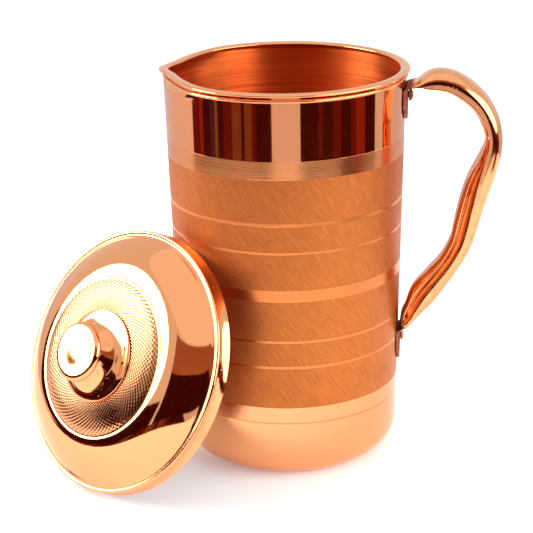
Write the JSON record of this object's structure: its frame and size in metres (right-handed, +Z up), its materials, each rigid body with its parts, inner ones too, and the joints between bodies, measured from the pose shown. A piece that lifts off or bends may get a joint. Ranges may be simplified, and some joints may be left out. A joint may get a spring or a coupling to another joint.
{
  "type": "copper water jug",
  "caption": "Tapered copper water jug with a rolled rim, pinched pouring lip, hollow riveted handle and a loose cap lid with a turned knob, leaning beside it.",
  "frame": {"origin": "centre of the jug's flat base", "axes": "+Z up along the jug's axis, +X towards the handle, -X towards the pouring lip, -Y towards the front, where the lid leans"},
  "size_m": [0.2198, 0.1498, 0.1834],
  "materials": {
    "jug_copper": "copper, polished and matt turned bands",
    "handle_copper": "polished copper",
    "rivet_copper": "plain copper",
    "lid_copper": "mirror-polished copper with an engine-turned ring",
    "knob_copper": "mirror-polished copper"
  },
  "bodies": {
    "jug": {"jug_body": "jug_copper", "handle_outer_shell": "handle_copper", "handle_grip_plate": "handle_copper", "upper_rivet": "rivet_copper", "lower_rivet": "rivet_copper", "upper_rivet_burr": "rivet_copper", "lower_rivet_burr": "rivet_copper"},
    "lid": {"lid_cover": "lid_copper", "lid_skirt_band": "lid_copper", "knob_foot": "knob_copper", "knob_cap": "knob_copper", "knob_stud": "rivet_copper", "knob_washer": "rivet_copper"}
  },
  "joints": [
    {"name": "lid_pull", "type": "slide", "parent": "jug", "child": "lid", "axis": [-0.5629, -0.7103, 0.4226], "range_m": [0, 0.15]}
  ]
}
